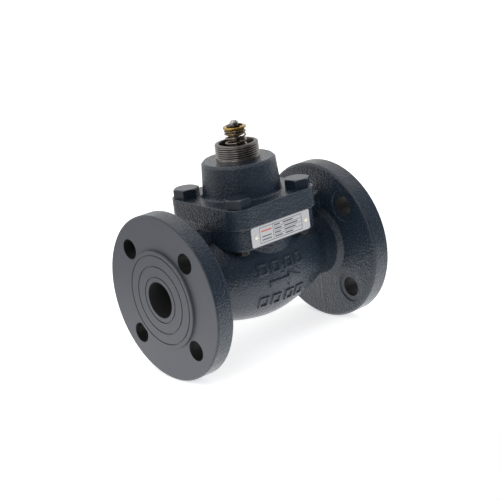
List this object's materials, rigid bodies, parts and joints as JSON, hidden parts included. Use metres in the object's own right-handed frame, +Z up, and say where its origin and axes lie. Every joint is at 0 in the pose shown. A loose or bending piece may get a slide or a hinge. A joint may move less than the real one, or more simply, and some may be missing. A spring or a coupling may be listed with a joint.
{
  "type": "control valve",
  "caption": "Flanged two-way globe control valve: cast body between round flanges, bolted square bonnet, threaded actuator neck and a stem that a coil spring returns upwards.",
  "frame": {"origin": "centre of the inlet's raised face", "axes": "+X with the flow, from the inlet to the outlet; +Z up the stem; the pipe axis lies at z = 0"},
  "size_m": [0.16, 0.115, 0.1614],
  "materials": {
    "casting": "dark blue-grey paint over a sand-cast skin",
    "painted_bolts": "dark grey paint over steel",
    "neck_steel": "dark oiled steel with a cut thread",
    "stainless": "turned stainless steel",
    "spring_steel": "oiled spring steel",
    "dark_steel": "blackened spring steel",
    "brass": "turned brass",
    "copper": "soft copper",
    "graphite": "pressed graphite sheet",
    "white_seal": "filled white seal plastic",
    "rubber": "black rubber",
    "plate": "satin aluminium sheet"
  },
  "bodies": {
    "valve": {"valve_body": "casting", "seat_gasket": "copper", "seat_ring": "stainless", "bonnet": "casting", "bonnet_gasket": "graphite", "bonnet_bolts": "painted_bolts", "actuator_neck": "neck_steel", "neck_seal": "copper", "sleeve_seal": "white_seal", "balance_sleeve": "stainless", "guide_bush": "brass", "packing_washer": "brass", "packing_rings": "white_seal", "packing_follower": "brass", "gland_nut": "brass", "wiper_ring": "rubber", "spring_seat": "dark_steel", "stem_spring": "spring_steel", "nameplate": "plate", "nameplate_rivets": "plate"},
    "stem_assembly": {"plug": "stainless", "piston_seal": "white_seal", "plug_pin": "stainless", "stem": "stainless", "spring_retainer": "brass", "retaining_ring": "dark_steel"}
  },
  "joints": [
    {"name": "stem_travel", "type": "slide", "parent": "valve", "child": "stem_assembly", "axis": [0, 0, -1], "range_m": [0, 0.007], "stiffness_N_per_m": 1000, "springref_m": -0.012, "deforming": ["stem_spring"]}
  ]
}
